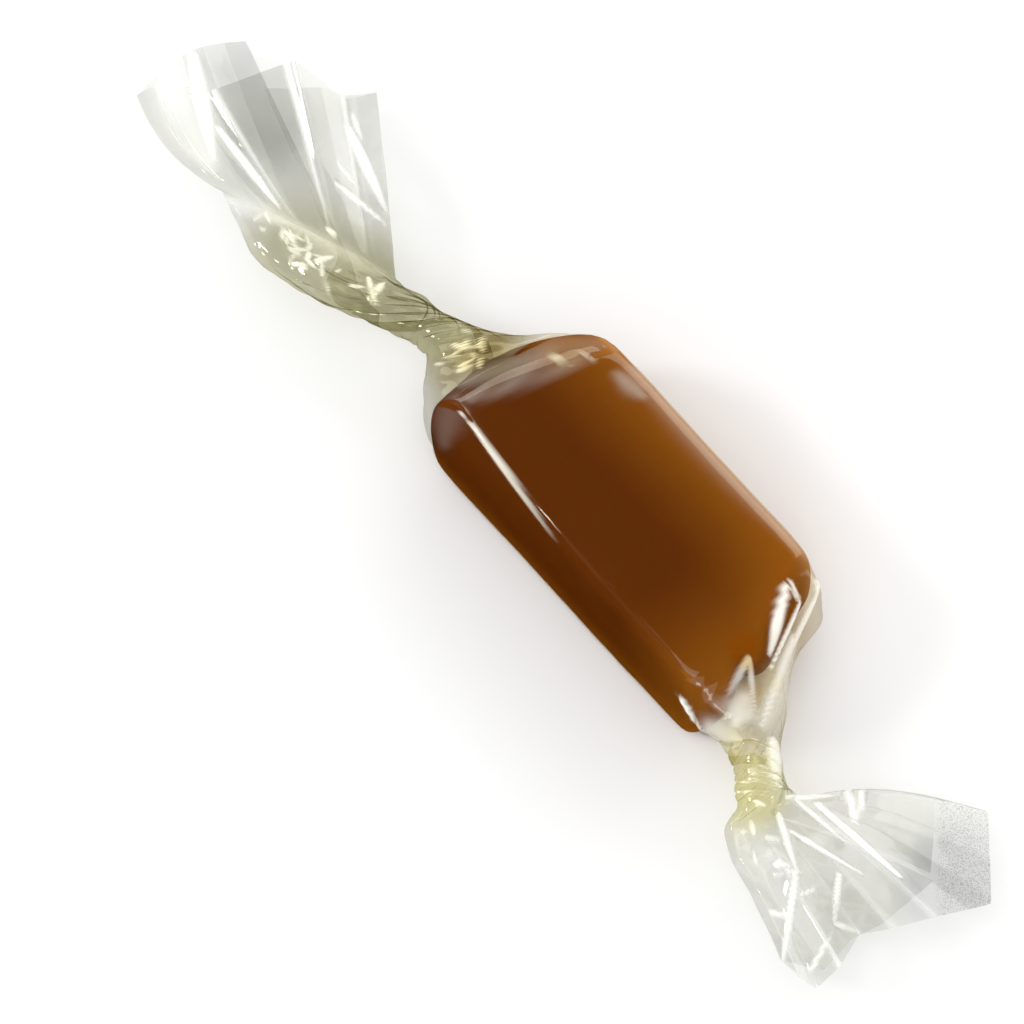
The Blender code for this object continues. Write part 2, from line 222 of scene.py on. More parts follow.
# Raised creases of the film, with white highlights painted along them, and hazes of light painted
# on
# the film: start, end in mm, height and half width in mm, whiteness of the painted highlight, and
# how fast it fades from start to end. A row without height is a soft painted haze.
CREASES_AND_PAINTED_HIGHLIGHTS = [
    ((-18.6, -7.1, 12.6), (-1.6, -9.2, 12.6), 0.30, 0.32, 0.97, 0.60),  # left edge
    ((-18.7, -7.1, 12.6), (-18.0, -7.3, 12.6), 0.20, 0.42, 0.95, 0.00),  # left edge dot
    ((18.6, -9.8, 10.0), (21.2, -9.1, 5.0), 0.35, 0.26, 0.95, 0.30),  # hook
    ((16.9, 5.2, 12.0), (20.7, -0.1, 10.0), 0.30, 0.56, 0.98, 0.10),  # loop left limb
    ((16.5, 6.1, 12.0), (18.7, 5.5, 11.0), 0.20, 0.22, 0.80, 0.00),  # loop top
    ((18.7, 5.5, 11.0), (21.8, -1.1, 9.0), 0.20, 0.22, 0.85, 0.00),  # loop right limb
    ((16.9, 9.5, 9.0), (18.4, 7.9, 9.0), 0.20, 0.30, 0.80, 0.00),  # corner strip
    ((18.5, 7.7, 9.0), (22.2, -0.2, 8.0), 0.20, 0.30, 0.80, 0.10),  # outer strip
    ((20.6, 3.2, 9.0), (25.1, -4.7, 7.0), 0.00, 0.60, 0.75, 0.10),  # middle strip
    ((20.0, -2.3, 11.0), (20.9, -5.8, 8.0), 0.20, 0.42, 0.55, 0.30),  # lambda left
    ((20.1, -2.2, 11.0), (24.0, -4.7, 7.0), 0.20, 0.30, 0.55, 0.20),  # lambda right
    ((27.2, -5.1, 7.0), (30.7, -7.4, 7.0), 0.15, 0.70, 0.80, 0.00),  # white side of the twist
    ((32.9, -12.6, 5.0), (46.5, -15.4, 5.0), 0.00, 2.40, 0.14, 0.00),  # pale flap
    ((33.4, -9.5, 6.0), (39.1, -12.0, 6.0), 0.15, 0.35, 0.75, 0.10),  # flap fold 1
    ((39.1, -12.0, 6.0), (45.4, -19.0, 4.0), 0.15, 0.35, 0.75, 0.10),  # flap fold 2
    ((41.8, -8.7, 5.0), (45.6, -12.5, 5.0), 0.12, 0.30, 0.75, 0.10),  # flap right
    ((45.6, -12.5, 5.0), (47.8, -10.9, 4.0), 0.12, 0.24, 0.65, 0.10),  # flap corner
    ((47.8, -17.5, 4.0), (45.7, -12.7, 4.0), 0.12, 0.26, 0.65, 0.10),  # flap bottom
    ((32.4, -7.6, 6.0), (35.3, -3.8, 6.0), 0.15, 0.30, 0.85, 0.30),  # upper fold
    ((32.6, -7.1, 6.0), (39.9, -6.3, 6.0), 0.15, 0.24, 0.65, 0.20),  # inner fold
    ((34.9, -5.7, 6.0), (46.3, -4.5, 6.0), 0.15, 0.32, 0.95, 0.00),  # long crease
    ((35.2, -1.9, 5.0), (38.5, -4.0, 5.0), 0.12, 0.30, 0.80, 0.10),  # v left
    ((36.1, -0.8, 5.0), (38.7, -3.8, 5.0), 0.12, 0.26, 0.70, 0.10),  # v right
    ((35.4, -9.7, 6.0), (43.7, -7.2, 6.0), 0.12, 0.22, 0.60, 0.10),  # lower crease
    ((-68.5, -0.9, 6.0), (-57.9, -6.8, 6.0), 0.10, 0.90, 0.75, 0.20),  # left band
    ((-60.3, -4.3, 7.0), (-49.5, -5.2, 7.0), 0.15, 0.38, 0.90, 0.20),  # left long
    ((-67.1, -5.0, 6.0), (-58.5, -7.0, 6.0), 0.00, 2.60, 0.34, 0.00),  # left pale
    ((-51.9, 5.7, 7.0), (-42.3, 2.8, 7.0), 0.12, 0.50, 0.90, 0.30),  # leaf left
    ((-52.8, 7.0, 7.0), (-50.2, 6.0, 7.0), 0.10, 0.26, 0.60, 0.10),  # leaf right
    ((-47.6, 0.6, 8.0), (-41.1, 1.5, 8.0), 0.12, 0.24, 0.70, 0.10),  # thin 1
    ((-49.2, 2.1, 8.0), (-45.7, 2.0, 8.0), 0.12, 0.18, 0.55, 0.10),  # thin 2
    ((-53.1, -9.0, 8.0), (-46.6, -5.5, 8.0), 0.00, 0.90, 0.28, 0.00),  # band 1
    ((-46.6, -5.5, 8.0), (-36.8, -1.7, 7.0), 0.00, 0.80, 0.24, 0.30),  # band 2
    ((-35.8, -4.4, 8.0), (-36.0, -2.9, 8.0), 0.10, 0.42, 0.75, 0.00),  # triangle facet
    ((-37.4, -3.7, 8.0), (-34.7, -5.0, 8.0), 0.10, 0.30, 0.85, 0.00),  # facet edge
    ((-18.5, 2.7, 11.0), (-15.4, 6.9, 11.5), 0.12, 0.22, 0.50, 0.10),  # head gold 1
    ((-17.4, 2.7, 11.0), (-16.4, 5.3, 11.5), 0.12, 0.18, 0.45, 0.10),  # head gold 2
    ((-11.3, 7.3, 12.5), (-8.0, 7.8, 12.5), 0.00, 0.90, 0.20, 0.00),  # corner haze
    ((-18.8, -6.0, 13.2), (-14.6, 6.4, 13.2), 0.00, 0.70, 0.14, 0.00),  # ridge haze
    ((-21.9, 1.6, 9.0), (-16.4, 9.5, 9.0), 0.00, 1.30, 0.10, 0.00),  # end haze
    ((-22.0, -5.4, 7.0), (-19.0, -9.2, 7.0), 0.00, 1.60, 0.06, 0.00),  # head corner haze
    ((-21.4, -4.8, 11.5), (-17.6, 5.6, 11.5), 0.00, 1.10, 0.15, 0.00),  # film over the head end
    # The next three rows are painted light: white hazes that lighten the shade on the floor seen
    # through the film at the foot end.
    ((21.6, -8.6, 6.0), (24.8, -7.4, 6.5), 0.00, 1.40, 0.40, 0.00),  # pale left of the foot
    ((22.2, -4.7, 8.0), (23.6, -6.8, 8.0), 0.00, 1.80, 0.50, 0.00),  # pale triangle
    ((21.8, 1.6, 8.0), (25.2, -4.4, 7.0), 0.00, 1.50, 0.34, 0.00),  # pale right of the foot
    ((-11.0, 9.0, 13.0), (15.5, 9.0, 13.0), 0.00, 1.30, 0.15, 0.00),  # right edge haze
]
# A crease's width at its far tip as a share of its widest place, how far along its arch it starts,
# and what is left of it to fade at its end
CREASE_TIP = 0.4
CREASE_START = 0.15
CREASE_REST = 0.001
# How fast the highlight painted along a fold of a fan fades from the free edge to the root
FOLD_HIGHLIGHT_FADE = 0.6
# Areas of small crinkles: middle in mm, spread along and across in mm, and how many
CRINKLE_AREAS = [
    ((-46.6, -7.4, 8.0), (4.4, 1.6), 20),
    ((-41.0, -5.6, 8.4), (3.0, 1.3), 9),
    ((-24.4, -1.4, 9.6), (1.8, 2.8), 14),
    ((30.2, -10.0, 8.0), (2.4, 2.0), 9),
    ((38.0, -12.0, 6.4), (6.5, 5.0), 12),
]
# Crinkles: bounds of half their length and width in mm and of the whiteness of their painted
# glints, height in mm, fade, and how closely they lie round the middle of their area
CRINKLE_REACHES = (0.3, 1.0)
CRINKLE_WIDTHS = (0.14, 0.30)
CRINKLE_PAINTED_WHITENESS = (0.4, 0.95)
CRINKLE_HEIGHT = 0.12
CRINKLE_FADE = 0.2
CRINKLE_SCATTER = 0.5
CRINKLE_SEED = 11
# Direction in which a crease's line may lie off the film, and how much it counts that way
CREASE_SLACK = (0.325, -0.271, 0.906)
SLACK_HEED = 0.03
# Creases and their painted highlights lie on the upper side of the film: above a height in mm,
# where it faces the slack direction, from 0 for not at all to the share from which it is creased in
# full. In the fans, which begin at a distance in mm along the sweet, neither matters.
UPPER_SIDE = 5.0
FACING_IN_FULL = 0.3
FANS_FROM = 31.0
# Height of the sweet's axis in mm, which the film's outer side faces away from
AXIS_HEIGHT = 6.9
# Where the film is gathered and lets less light through: x, y, reach and fade in mm, and the
# light that a layer lets through
GATHERS = [
    (0.0, 0.0, 24.0, 6.0, (0.95, 0.91, 0.80)),
    (-62.0, 1.8, 5.6, 2.6, (0.80, 0.805, 0.78)),
    (-57.4, 0.0, 5.0, 2.4, (0.78, 0.785, 0.76)),
    (-67.0, -3.8, 4.4, 2.6, (0.96, 0.96, 0.945)),
    (-67.2, 2.8, 4.2, 1.8, (0.79, 0.795, 0.775)),
    (-49.0, 5.6, 5.6, 2.5, (0.96, 0.96, 0.945)),
    (-23.6, -0.8, 6.4, 4.0, (0.60, 0.54, 0.34)),
    (-28.5, -0.9, 5.4, 4.0, (0.72, 0.70, 0.54)),
    (-33.0, -2.8, 6.4, 4.0, (0.72, 0.705, 0.57)),
    (-38.5, -4.6, 7.2, 4.5, (0.72, 0.71, 0.59)),
    (-44.5, -6.8, 7.4, 4.5, (0.78, 0.77, 0.67)),
    (25.6, -7.2, 4.0, 3.0, (0.93, 0.90, 0.69)),
    (29.6, -10.4, 5.0, 3.2, (0.91, 0.89, 0.68)),
    # These two rows are painted light: the film is made clearer and warmer here to lighten the
    # shade on the floor seen through it at the foot end.
    (21.0, 3.8, 6.2, 2.6, (0.99, 0.955, 0.87)),
    (23.4, -3.6, 5.2, 2.2, (0.995, 0.985, 0.93)),
    # The next three rows are partly painted light: besides tinting the film, their yellow colours
    # the painted highlights of the lambda at the foot end and the gold glints at the head end,
    # through the film's hue.
    (19.9, -2.4, 2.2, 1.0, (0.98, 0.87, 0.55)),
    (22.8, -2.0, 2.0, 1.2, (0.99, 0.95, 0.78)),
    (-17.0, 5.0, 3.2, 1.5, (0.96, 0.89, 0.64)),
    (39.0, -6.0, 6.0, 3.0, (0.945, 0.945, 0.93)),
    (51.0, -0.5, 7.6, 2.6, (0.80, 0.80, 0.795)),
]
# How strongly the film's hue shows in its gloss and in the highlights painted along its creases
HUE_DEPTH = 1.3
# Fine grain of the film: grains for each metre, and how much they change its clearness
GRAIN_SCALE = 1100.0
GRAIN = 0.06
# Frosted end of the foot fan: direction in which it begins beyond a line, dots for each metre,
# levels between which a dot gets dark, and how dark
FROST_DIRECTION = (0.64, 0.768, 0.0)
FROST_SCALE = 7600.0
FROST_DOTS = (0.50, 0.62)
FROST_DARK = 0.34
# How late the film's gloss grows as it is seen at a slant
SLANT_POWER = 5.0

# How far the sleeve's ends and top edges lean with the block, in mm: the right top corner of the
# head end, the right corner of either end, the left top edge at the head, the right top edge
HEAD_PULL = 3.6
END_SKEW = 1.1
HEAD_SHOULDER = 1.4
RIGHT_LEAN = 0.4
# The sleeve's further measures in mm: how far it is drawn in where it turns onto the ends, length
# of that turn, how much lower its top right corner is at the head, distance of its middle rib from
# the head end, and the squareness of its section
END_INSET = 0.9
SHOULDER_RUN = 3.4
HEAD_DROP = 3.2
MIDDLE_RUN = 19.0
SLEEVE_SQUARE = 7.0


# What the settings of one sort share
LENGTH = {"subtype": "DISTANCE", "unit": "LENGTH"}
ANGLE = {"subtype": "ANGLE", "unit": "ROTATION"}
SHARE = {"subtype": "FACTOR", "min": 0.0, "max": 1.0}
COLOUR = {"subtype": "COLOR", "size": 4, "min": 0.0, "max": 1.0}


class CaramelSettings(bpy.types.PropertyGroup):
    """Sizes and colours of the caramel block."""

    lumps: FloatProperty(
        name="Lumps", description="Height of the soft unevenness of the surface",
        default=0.35 * MM, **LENGTH)
    dark: FloatVectorProperty(
        name="Dark", description="Colour deep in the middle of the block",
        default=(0.122, 0.0275, 0.0007, 1.0), **COLOUR)
    # The light and rim colours are painted light: the glow attribute paints them where light comes
    # through the caramel, mostly at the right side and the foot.
    light: FloatVectorProperty(
        name="Light", description="Colour where the block gets thinner",
        default=(0.31, 0.103, 0.005, 1.0), **COLOUR)
    rim: FloatVectorProperty(
        name="Rim", description="Colour where light comes through the edges",
        default=(0.58, 0.30, 0.12, 1.0), **COLOUR)


class FilmSettings(bpy.types.PropertyGroup):
    """Sizes and colours of the clear film."""

    length: FloatProperty(
        name="Sheet length", description="Length of the flat sheet, along the sweet",
        default=103 * MM, **LENGTH)
    width: FloatProperty(
        name="Sheet width", description="Width of the flat sheet, round the sweet",
        default=84 * MM, **LENGTH)
    lap: FloatProperty(
        name="Lap", description="Share of the way round by which the sheet's long edges overlap",
        default=0.10, **SHARE)
    columns: IntProperty(
        name="Columns", description="Points round the film", default=292, min=60)
    fan_rows: IntProperty(
        name="Fan rows", description="Points along each fan", default=42, min=8)
    pleats: IntProperty(
        name="Pleats", description="Pleats that the film is gathered into", default=8, min=3)
    air: FloatProperty(
        name="Air", description="Gap between the film and the caramel",
        default=0.12 * MM, **LENGTH)
    tint: FloatVectorProperty(
        name="Tint", description="Light that one layer of the film lets through",
        default=(0.905, 0.907, 0.882, 1.0), **COLOUR)
    roughness: FloatProperty(
        name="Roughness", description="Roughness of the film's gloss", default=0.05, **SHARE)
    mirror: FloatProperty(
        name="Mirror", description="Share of the light that the film mirrors head on",
        default=0.07, **SHARE)
    slant_mirror: FloatProperty(
        name="Slant mirror", description="Further share that it mirrors at a slant",
        default=0.12, **SHARE)
    frost_line: FloatProperty(
        name="Frost line", description="How far out the frosted end of the foot fan begins",
        default=29.4 * MM, **LENGTH)


class StageSettings(bpy.types.PropertyGroup):
    """The floor, the lights and the camera."""

    floor: FloatVectorProperty(
        name="Floor", description="Colour of the floor", default=(0.87, 0.87, 0.87, 1.0), **COLOUR)
    ambient: FloatProperty(
        name="Ambient", description="Light from the pale room all round", default=0.70, min=0.0)
    azimuth: FloatProperty(
        name="Azimuth", description="Direction that the camera looks from, turned from the front",
        default=math.radians(50.2), **ANGLE)
    elevation: FloatProperty(
        name="Elevation", description="Height of the camera above the horizon",
        default=math.radians(65.0), **ANGLE)
    distance: FloatProperty(
        name="Distance", description="Distance from the camera to the sweet", default=3.0,
        **LENGTH)
    view_width: FloatProperty(
        name="View width", description="Width that the picture covers at the sweet",
        default=102.4 * MM, **LENGTH)
    centre_right: FloatProperty(
        name="Centre right", description="How far the picture's centre lies right of the origin",
        default=-12.4 * MM, **LENGTH)
    centre_up: FloatProperty(
        name="Centre up", description="How far the picture's centre lies above the origin",
        default=3.9 * MM, **LENGTH)


def deselect_all():
    """Leaves edit mode and clears the selection, so that an operator acts on one piece only."""
    if bpy.context.object and bpy.context.object.mode != "OBJECT":
        bpy.ops.object.mode_set(mode="OBJECT")
    bpy.ops.object.select_all(action="DESELECT")


def make_active(item):
    deselect_all()
    item.select_set(True)
    bpy.context.view_layer.objects.active = item


def name_new(name):
    """Names the object that an operator has just added."""
    item = bpy.context.object
    item.name = name
    item.data.name = name
    return item


def bake_place(item):
    """Puts an object's place, turn and scale into its mesh."""
    make_active(item)
    bpy.ops.object.transform_apply(location=True, rotation=True, scale=True)


def apply_modifier(item, kind, **settings):
    """Adds a modifier, sets it and applies it."""
    make_active(item)
    modifier = item.modifiers.new(kind.lower(), kind)
    for key, value in settings.items():
        setattr(modifier, key, value)
    bpy.ops.object.modifier_apply(modifier=modifier.name)


def point_places(item, name="co"):
    """The places, or the normals, of a mesh's points as rows of x, y and z."""
    values = np.empty(len(item.data.vertices) * 3)
    item.data.vertices.foreach_get(name, values)
    return values.reshape(-1, 3)


def set_places(item, places):
    item.data.vertices.foreach_set("co", places.ravel())
    item.data.update()


def add_layer(item, name, kind, values):
    """Gives each point of a mesh a number (FLOAT) or a colour (FLOAT_COLOR)."""
    layer = item.data.attributes.new(name, kind, "POINT")
    layer.data.foreach_set("value" if kind == "FLOAT" else "color", values.ravel())


def rise(values, start, end):
    """How far values have come from start to end, from 0 to 1."""
    return np.clip((values - start) / (end - start), 0, 1)


def select_points(item, test):
    """Selects in edit mode the points of a mesh whose place passes a test."""
    mesh = bmesh.from_edit_mesh(item.data)
    for element in (*mesh.faces, *mesh.edges, *mesh.verts):
        element.select = False
    for vert in mesh.verts:
        vert.select = bool(test(vert.co))
    mesh.select_flush_mode()
    bmesh.update_edit_mesh(item.data)


def new_material(name):
    """A node material with nothing but its output, and functions that add and join its nodes."""
    material = bpy.data.materials.new(name)
    material.use_nodes = True
    tree = material.node_tree
    tree.nodes.clear()
    output = tree.nodes.new("ShaderNodeOutputMaterial")

    def add(kind, sockets=None, **settings):
        node = tree.nodes.new("ShaderNode" + kind)
        for key, value in settings.items():
            setattr(node, key, value)
        for key, value in (sockets or {}).items():
            node.inputs[key].default_value = value
        return node

    def join(start, outlet, end, inlet):
        tree.links.new(start.outputs[outlet], end.inputs[inlet])

    return material, add, join, output


def caramel_material(settings):
    """Soft toffee brown, darker in the middle, with painted light: warmer where a glow of light
    coming through the edges is painted.
    """
    material, add, join, output = new_material("caramel")
    shader = add("BsdfPrincipled", {
        "Roughness": 0.34, "IOR": 1.46, "Specular IOR Level": 0.22,
        "Specular Tint": (1.0, 0.85, 0.6, 1.0), "Subsurface Weight": 0.25,
        "Subsurface Radius": (1.0, 0.35, 0.08), "Subsurface Scale": 2.5 * MM})
    place = add("TexCoord")
    spread = add("Mapping", {"Scale": CLOUDS}, vector_type="POINT")
    cloud = add("TexNoise", {"Scale": 1.0, "Detail": 4.0, "Roughness": 0.55})
    # Painted light: the glow attribute lightens and warms the colour where light comes through the
    # caramel.
    painted_glow = add("Attribute", attribute_name="painted_glow")
    mix = add("Math", {1: CLOUDING}, operation="MULTIPLY_ADD")
    ramp = add("ValToRGB")
    colours = ramp.color_ramp.elements
    dark_at, light_at, rim_at = PAINTED_GLOW_COLOURS_AT
    colours[0].position, colours[0].color = dark_at, settings.dark
    colours[1].position, colours[1].color = rim_at, settings.rim
    colours.new(light_at).color = settings.light
    join(place, "Object", spread, "Vector")
    join(spread, "Vector", cloud, "Vector")
    join(cloud, "Fac", mix, 0)
    join(painted_glow, "Fac", mix, 2)
    join(mix, "Value", ramp, "Fac")
    join(ramp, "Color", shader, "Base Color")
    join(shader, "BSDF", output, "Surface")
    return material


def film_material(settings):
    """Clear film: each layer takes a little of the light, mirrors some, and has white highlights
    and hazes painted on it along creases.
    """
    material, add, join, output = new_material("film")
    place = add("TexCoord")
    tint = add("Attribute", attribute_name="film_tint")
    grain = add("TexNoise", {"Scale": GRAIN_SCALE, "Detail": 3.0, "Roughness": 0.6})
    speckle = add("TexNoise", {"Scale": FROST_SCALE, "Detail": 1.0})
    dots = add("MapRange", {"From Min": FROST_DOTS[0], "From Max": FROST_DOTS[1]})
    beyond = add("VectorMath", {1: FROST_DIRECTION}, operation="DOT_PRODUCT")
    zone = add("MapRange", {"From Min": settings.frost_line, "From Max": settings.frost_line + MM})
    frost = add("Math", operation="MULTIPLY")
    dim = add("Math", {1: -FROST_DARK}, operation="MULTIPLY_ADD")
    soft = add("Math", {1: -GRAIN, 2: 1 + GRAIN / 2}, operation="MULTIPLY_ADD")
    shade = add("VectorMath", operation="SCALE")
    clear = add("BsdfTransparent")
    join(place, "Object", grain, "Vector")
    join(place, "Object", speckle, "Vector")
    join(place, "Object", beyond, 0)
    join(speckle, "Fac", dots, "Value")
    join(beyond, "Value", zone, "Value")
    join(dots, "Result", frost, 0)
    join(zone, "Result", frost, 1)
    join(grain, "Fac", soft, 0)
    join(frost, "Value", dim, 0)
    join(soft, "Value", dim, 2)
    join(tint, "Color", shade, 0)
    join(dim, "Value", shade, "Scale")
    join(shade, "Vector", clear, "Color")
    hue = add("Attribute", attribute_name="film_hue")
    gloss = add("BsdfGlossy", {"Roughness": settings.roughness})
    join(hue, "Color", gloss, "Color")
    slant = add("LayerWeight", {"Blend": 0.5})
    steep = add("Math", {1: SLANT_POWER}, operation="POWER")
    share = add("Math", {1: settings.slant_mirror, 2: settings.mirror},
                operation="MULTIPLY_ADD", use_clamp=True)
    blend = add("MixShader")
    join(slant, "Facing", steep, 0)
    join(steep, "Value", share, 0)
    join(share, "Value", blend, "Fac")
    join(clear, "BSDF", blend, 1)
    join(gloss, "BSDF", blend, 2)
    # Painted highlights: a white diffuse shader is mixed in where the attribute below paints white
    # streaks, glints and hazes on the film.
    painted_crease_highlight = add("Attribute", attribute_name="painted_crease_highlight")
    painted_white = add("BsdfDiffuse")
    join(hue, "Color", painted_white, "Color")
    with_painted_white = add("MixShader")
    join(painted_crease_highlight, "Fac", with_painted_white, "Fac")
    join(blend, "Shader", with_painted_white, 1)
    join(painted_white, "BSDF", with_painted_white, 2)
    join(with_painted_white, "Shader", output, "Surface")
    return material


def floor_material(settings):
    material, add, join, output = new_material("floor")
    shader = add("BsdfPrincipled", {
        "Base Color": settings.floor, "Roughness": 0.9, "Specular IOR Level": 0.1})
    join(shader, "BSDF", output, "Surface")
    return material


class CARAMEL_OT_block(bpy.types.Operator):
    """Model the caramel: a block cut askew, with soft edges and a gently uneven surface"""

    bl_idname = "caramel.block"
    bl_label = "Caramel block"

    def execute(self, context):
        settings = context.scene.caramel_block
        middle = (BLOCK_LOW + BLOCK_HIGH) / 2
        half = (BLOCK_HIGH - BLOCK_LOW) / 2 + Vector((SPARE_WALL,) * 3) * MM
        deselect_all()
        bpy.ops.mesh.primitive_cube_add(size=2, location=middle, scale=half)
        block = name_new("caramel_block")
        bake_place(block)
        bpy.ops.object.mode_set(mode="EDIT")
        for axis, places in enumerate(LOOPS):
            for place in places:
                cut, normal = Vector((0, 0, 0)), Vector((0, 0, 0))
                cut[axis], normal[axis] = place * MM, 1
                bpy.ops.mesh.select_all(action="SELECT")
                bpy.ops.mesh.bisect(plane_co=cut, plane_no=normal)
        lows, highs = middle - half, middle + half
        levels = [(lows[axis], *(place * MM for place in LOOPS[axis]), highs[axis])
                  for axis in range(3)]
        self.shape_ends(block, levels)
        self.lean_edges(block, levels)
        bpy.ops.object.mode_set(mode="OBJECT")
        apply_modifier(block, "SUBSURF", levels=4, render_levels=4)
        lumps = bpy.data.textures.new("soft lumps", "CLOUDS")
        lumps.noise_scale = LUMP_SIZE * MM
        lumps.noise_depth = 1
        apply_modifier(block, "DISPLACE", texture=lumps, texture_coords="LOCAL",
                       strength=settings.lumps, mid_level=0.6)
        self.paint_light_through(block)
        make_active(block)
        bpy.ops.object.shade_smooth()
        block.data.materials.append(caramel_material(settings))
        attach(block, "root")
        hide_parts("caramel")
        return {"FINISHED"}

    def paint_light_through(self, block):
        """Paints how much light comes through each point, most at the right side and the foot: a
        painted glow of light.
        """
        along, across, up = point_places(block).T / MM
        right = rise(across, -1.0, 9.5) ** 1.3
        foot = rise(along, 8.0, 22.0) ** 1.5
        head = rise(along, -17.0, -23.0) * rise(across, -2.0, 6.0)
        left = rise(up, 5.0, -3.0) * rise(across, -6.0, -9.0)
        rim = rise(across, 7.2, 9.6) ** 2
        dark = 1
        for share, strength in zip((right, foot, head, left), PAINTED_GLOWS):
            dark = dark * (1 - strength * share)
        add_layer(block, "painted_glow", "FLOAT", 1 - dark + PAINTED_RIM_GLOW * rim)

    def move_point(self, block, place, shift):
        """Moves the cage point that lies at a place."""
        select_points(block, lambda point: (point - Vector(place)).length < 0.01 * MM)
        bpy.ops.transform.translate(value=shift)

    def shape_ends(self, block, levels):
        """Puts each point of the two ends where it lies, and draws the loops next to them along."""
        along, across, up = levels
        for end, inner, table in ((along[0], along[1], HEAD_END), (along[-1], along[-2], FOOT_END)):
            for height, row in zip(up, table):
                for side, target in zip(across, row):
                    shift = target * MM - end
                    if side in (across[0], across[-1]) or height in (up[0], up[-1]):
                        pulled = min(shift, 0) if end > 0 else max(shift, 0)
                        self.move_point(block, (inner, side, height), (pulled * FOLLOW, 0, 0))
                    self.move_point(block, (end, side, height), (shift, 0, 0))

    def lean_edges(self, block, levels):
        """Leans the two top edges in, more at the head end."""
        _, across, up = levels
        for side, number, sign in ((across[0], 0, 1), (across[-1], 1, -1)):
            mesh = bmesh.from_edit_mesh(block.data)
            edge = [point.co.copy() for point in mesh.verts
                    if abs(point.co.y - side) < 0.01 * MM and abs(point.co.z - up[-1]) < 0.01 * MM]
            edge.sort(key=lambda place: place.x)
            for place, leans in zip(edge, EDGE_LEANS):
                self.move_point(block, place, (0, sign * leans[number] * MM, 0))


def rib_from_row(row):
    """A rib of the film: four corners, squareness, pleat depth, twist and rows to the next rib."""
    left_x, left_y, right_x, right_y, height, thickness, square, pleat, twist, rows = row
    half = thickness / 2
    corners = np.array([
        (left_x, left_y, height - half),
        (left_x, left_y, height + half),
        (right_x, right_y, height + half),
        (right_x, right_y, height - half),
    ]) * MM
    return {"corners": corners, "square": square, "pleat": pleat, "twist": math.radians(twist),
            "rows": rows}


def sleeve_rib(end, inward, inset, air, rows):
    """A rib round the block, a way in from its head end (-1) or foot end (1)."""
    low, high = np.array(BLOCK_LOW), np.array(BLOCK_HIGH)
    middle, half = (low + high) / 2, (high - low) / 2 + SPARE_WALL * MM + air
    corners = []
    for side, level in ((-1, -1), (-1, 1), (1, 1), (1, -1)):
        right, top = (side + 1) / 2, (level + 1) / 2
        corner = middle + np.array((end, side, level)) * half
        corner[0] -= end * (inward + END_SKEW * MM * right)
        corner[1] -= side * inset
        corner[2] -= level * inset
        if end < 0 and level > 0:
            corner[1] += HEAD_SHOULDER * MM * (1 - right)
            corner[0] += HEAD_PULL * MM * right
        corner[1] -= RIGHT_LEAN * MM * top * right
        corners.append(corner)
    return {"corners": np.array(corners), "square": SLEEVE_SQUARE, "pleat": 0.0, "twist": 0.0,
            "rows": rows}


def all_ribs(air):
    """Ribs of the film from the root of the head fan to the root of the foot fan."""
    head_face = sleeve_rib(-1, 0, END_INSET * MM, air, 5)
    head_face["corners"][2] -= np.array((HEAD_PULL, 0, HEAD_DROP)) * MM
    middle_rib = sleeve_rib(-1, MIDDLE_RUN * MM, 0, air, 24)
    middle_rib["corners"][1][1] -= HEAD_SHOULDER * MM
    return [
        *(rib_from_row(row) for row in HEAD_RIBS),
        head_face,
        sleeve_rib(-1, SHOULDER_RUN * MM, 0, air, 20),
        middle_rib,
        sleeve_rib(1, SHOULDER_RUN * MM, 0, air, 5),
        sleeve_rib(1, 0, END_INSET * MM, air, 4),
        *(rib_from_row(row) for row in FOOT_RIBS),
    ]


def cubic(before, start, end, after, share):
    """A smooth value between start and end that also heeds the values before and after them."""
    square = share * share
    cube = square * share
    return 0.5 * (
        2 * start
        + (end - before) * share
        + (2 * before - 5 * start + 4 * end - after) * square
        + (3 * start - before - 3 * end + after) * cube
    )


def rib_between(ribs, index, share):
    """The rib a share of the way from one rib to the next, straight along the sleeve."""
    start, end = ribs[index], ribs[index + 1]
    before = ribs[max(index - 1, 0)]
    after = ribs[min(index + 2, len(ribs) - 1)]
    rib = {key: start[key] + (end[key] - start[key]) * share for key in ("square", "pleat")}
    rib["twist"] = cubic(before["twist"], start["twist"], end["twist"], after["twist"], share)
    if start["square"] == end["square"]:
        rib["corners"] = start["corners"] + (end["corners"] - start["corners"]) * share
    else:
        rib["corners"] = cubic(before["corners"], start["corners"], end["corners"],
                               after["corners"], share)
    return rib


def smooth_step(share):
    share = min(max(share, 0.0), 1.0)
    return share * share * (3 - 2 * share)


def fold_shares(folds):
    """How far across the sheet each fold lies, from 0 to 1, so that no panel is stretched."""
    ends = np.array([fold[:3] for fold in folds])
    lengths = np.linalg.norm(np.diff(ends, axis=0), axis=1)
    return np.concatenate([[0], np.cumsum(lengths)]) / lengths.sum()


